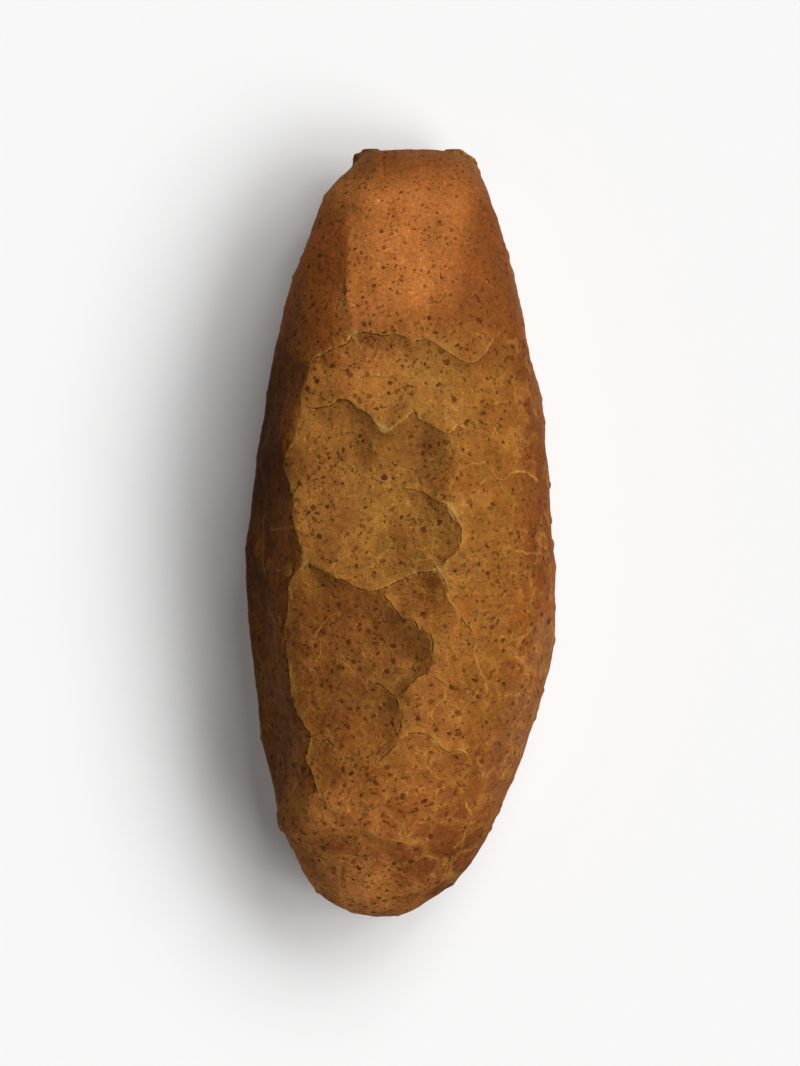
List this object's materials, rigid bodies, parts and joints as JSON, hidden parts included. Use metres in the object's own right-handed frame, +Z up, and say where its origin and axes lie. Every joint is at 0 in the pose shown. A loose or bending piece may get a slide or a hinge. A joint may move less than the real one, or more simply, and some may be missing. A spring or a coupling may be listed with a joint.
{
  "type": "bran bread loaf",
  "caption": "Long uncut loaf of bran bread with a domed, cracked brown crust, tapering to a blunt end and a rounder end, lying on its flat base.",
  "frame": {"origin": "on the floor, under the middle of the loaf's box", "axes": "+Z up out of the crust, +Y along the loaf towards its blunter end with the torn ears, +X across the loaf, away from its steep ridged flank"},
  "size_m": [0.1138, 0.2804, 0.0747],
  "materials": {
    "bran_crust": "dry baked crust, matte, ochre to reddish brown with dark bran flecks"
  },
  "bodies": {
    "root": {"bran_loaf": "bran_crust"}
  },
  "joints": []
}
